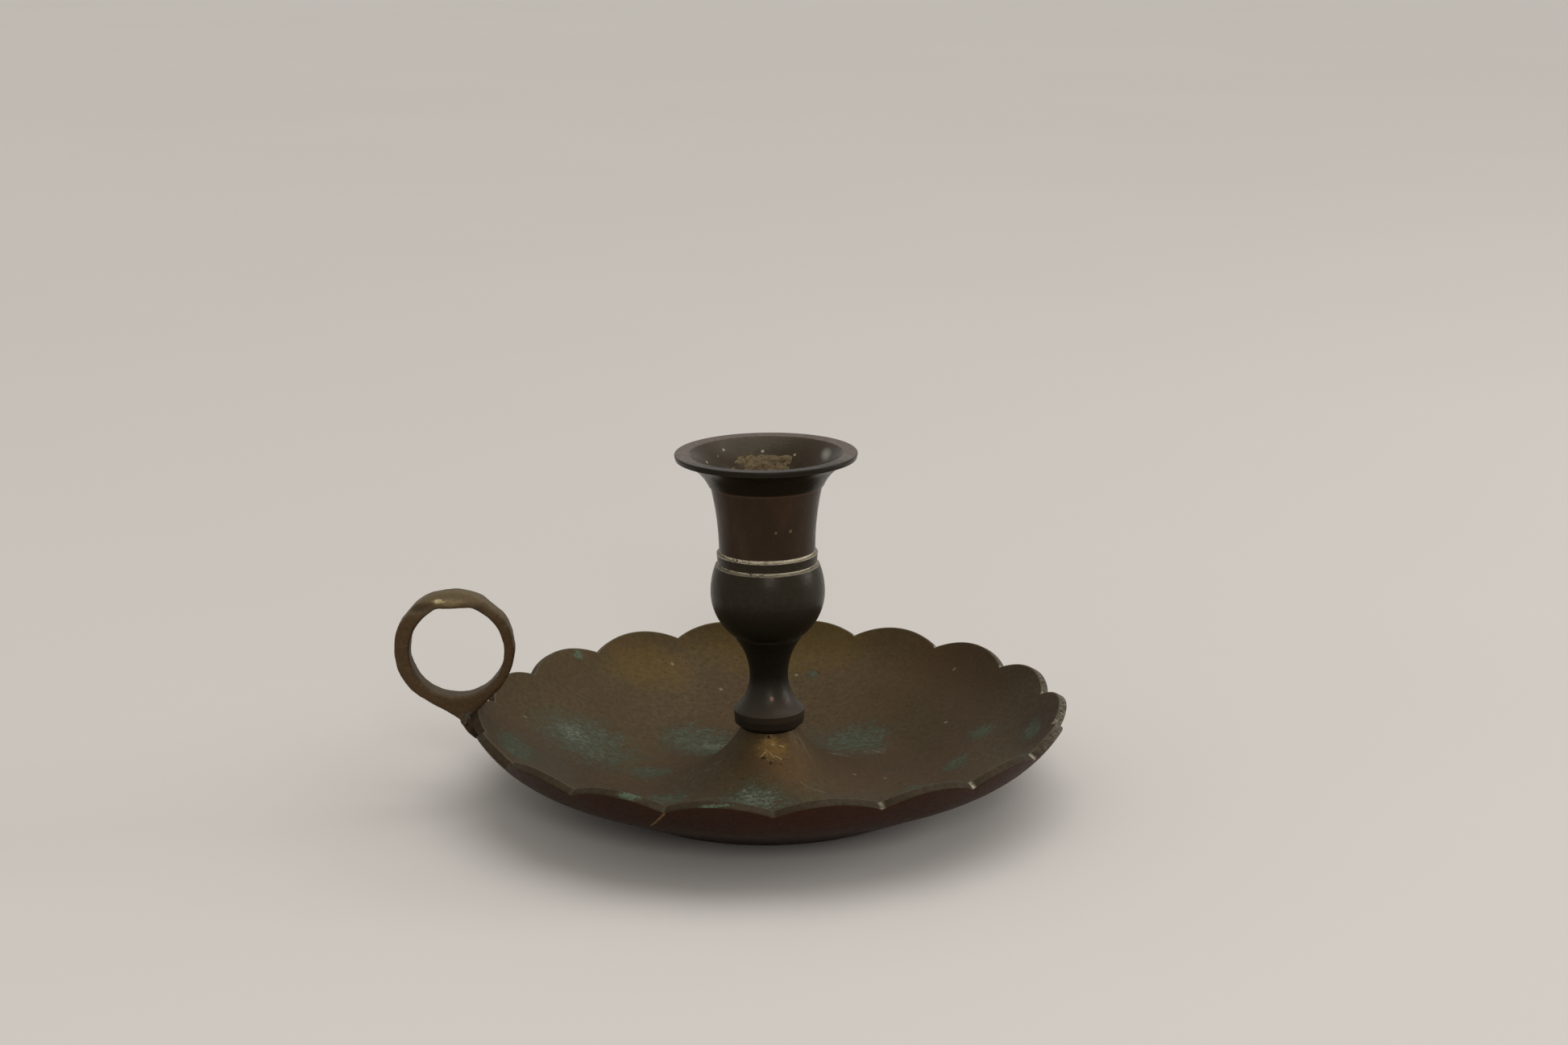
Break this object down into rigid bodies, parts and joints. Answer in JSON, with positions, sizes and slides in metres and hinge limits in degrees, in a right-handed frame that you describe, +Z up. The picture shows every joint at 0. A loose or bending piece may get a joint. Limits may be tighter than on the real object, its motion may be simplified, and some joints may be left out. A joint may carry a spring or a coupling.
{
  "type": "chamberstick",
  "caption": "Low candle holder to carry by one finger: a scalloped dished drip pan, a turned stem and flared candle cup, and a ring handle soldered to the rim.",
  "frame": {"origin": "centre of the flat ring that the pan stands on, on the axis of the stem, at table height", "axes": "+Z up along the stem's axis, +X away from the finger loop, which stands towards -X in the XZ plane"},
  "size_m": [0.1637, 0.1444, 0.0859],
  "materials": {
    "pan_brass": "cast brass, olive-brown patina with verdigris patches and fine scratches",
    "stem_brass": "turned brass, smooth brown-black patina",
    "cup_brass": "turned brass, smooth brown-black patina, worn browner at the neck and lip",
    "nut_brass": "dull brown brass",
    "loop_brass": "cast and filed brass, light olive-brown, matt, bright where it is worn",
    "solder": "dull greenish grey soft solder"
  },
  "bodies": {
    "root": {"drip_pan": "pan_brass", "stem": "stem_brass", "candle_cup": "cup_brass", "stem_nut": "nut_brass", "finger_loop": "loop_brass", "loop_solder": "solder"}
  },
  "joints": []
}
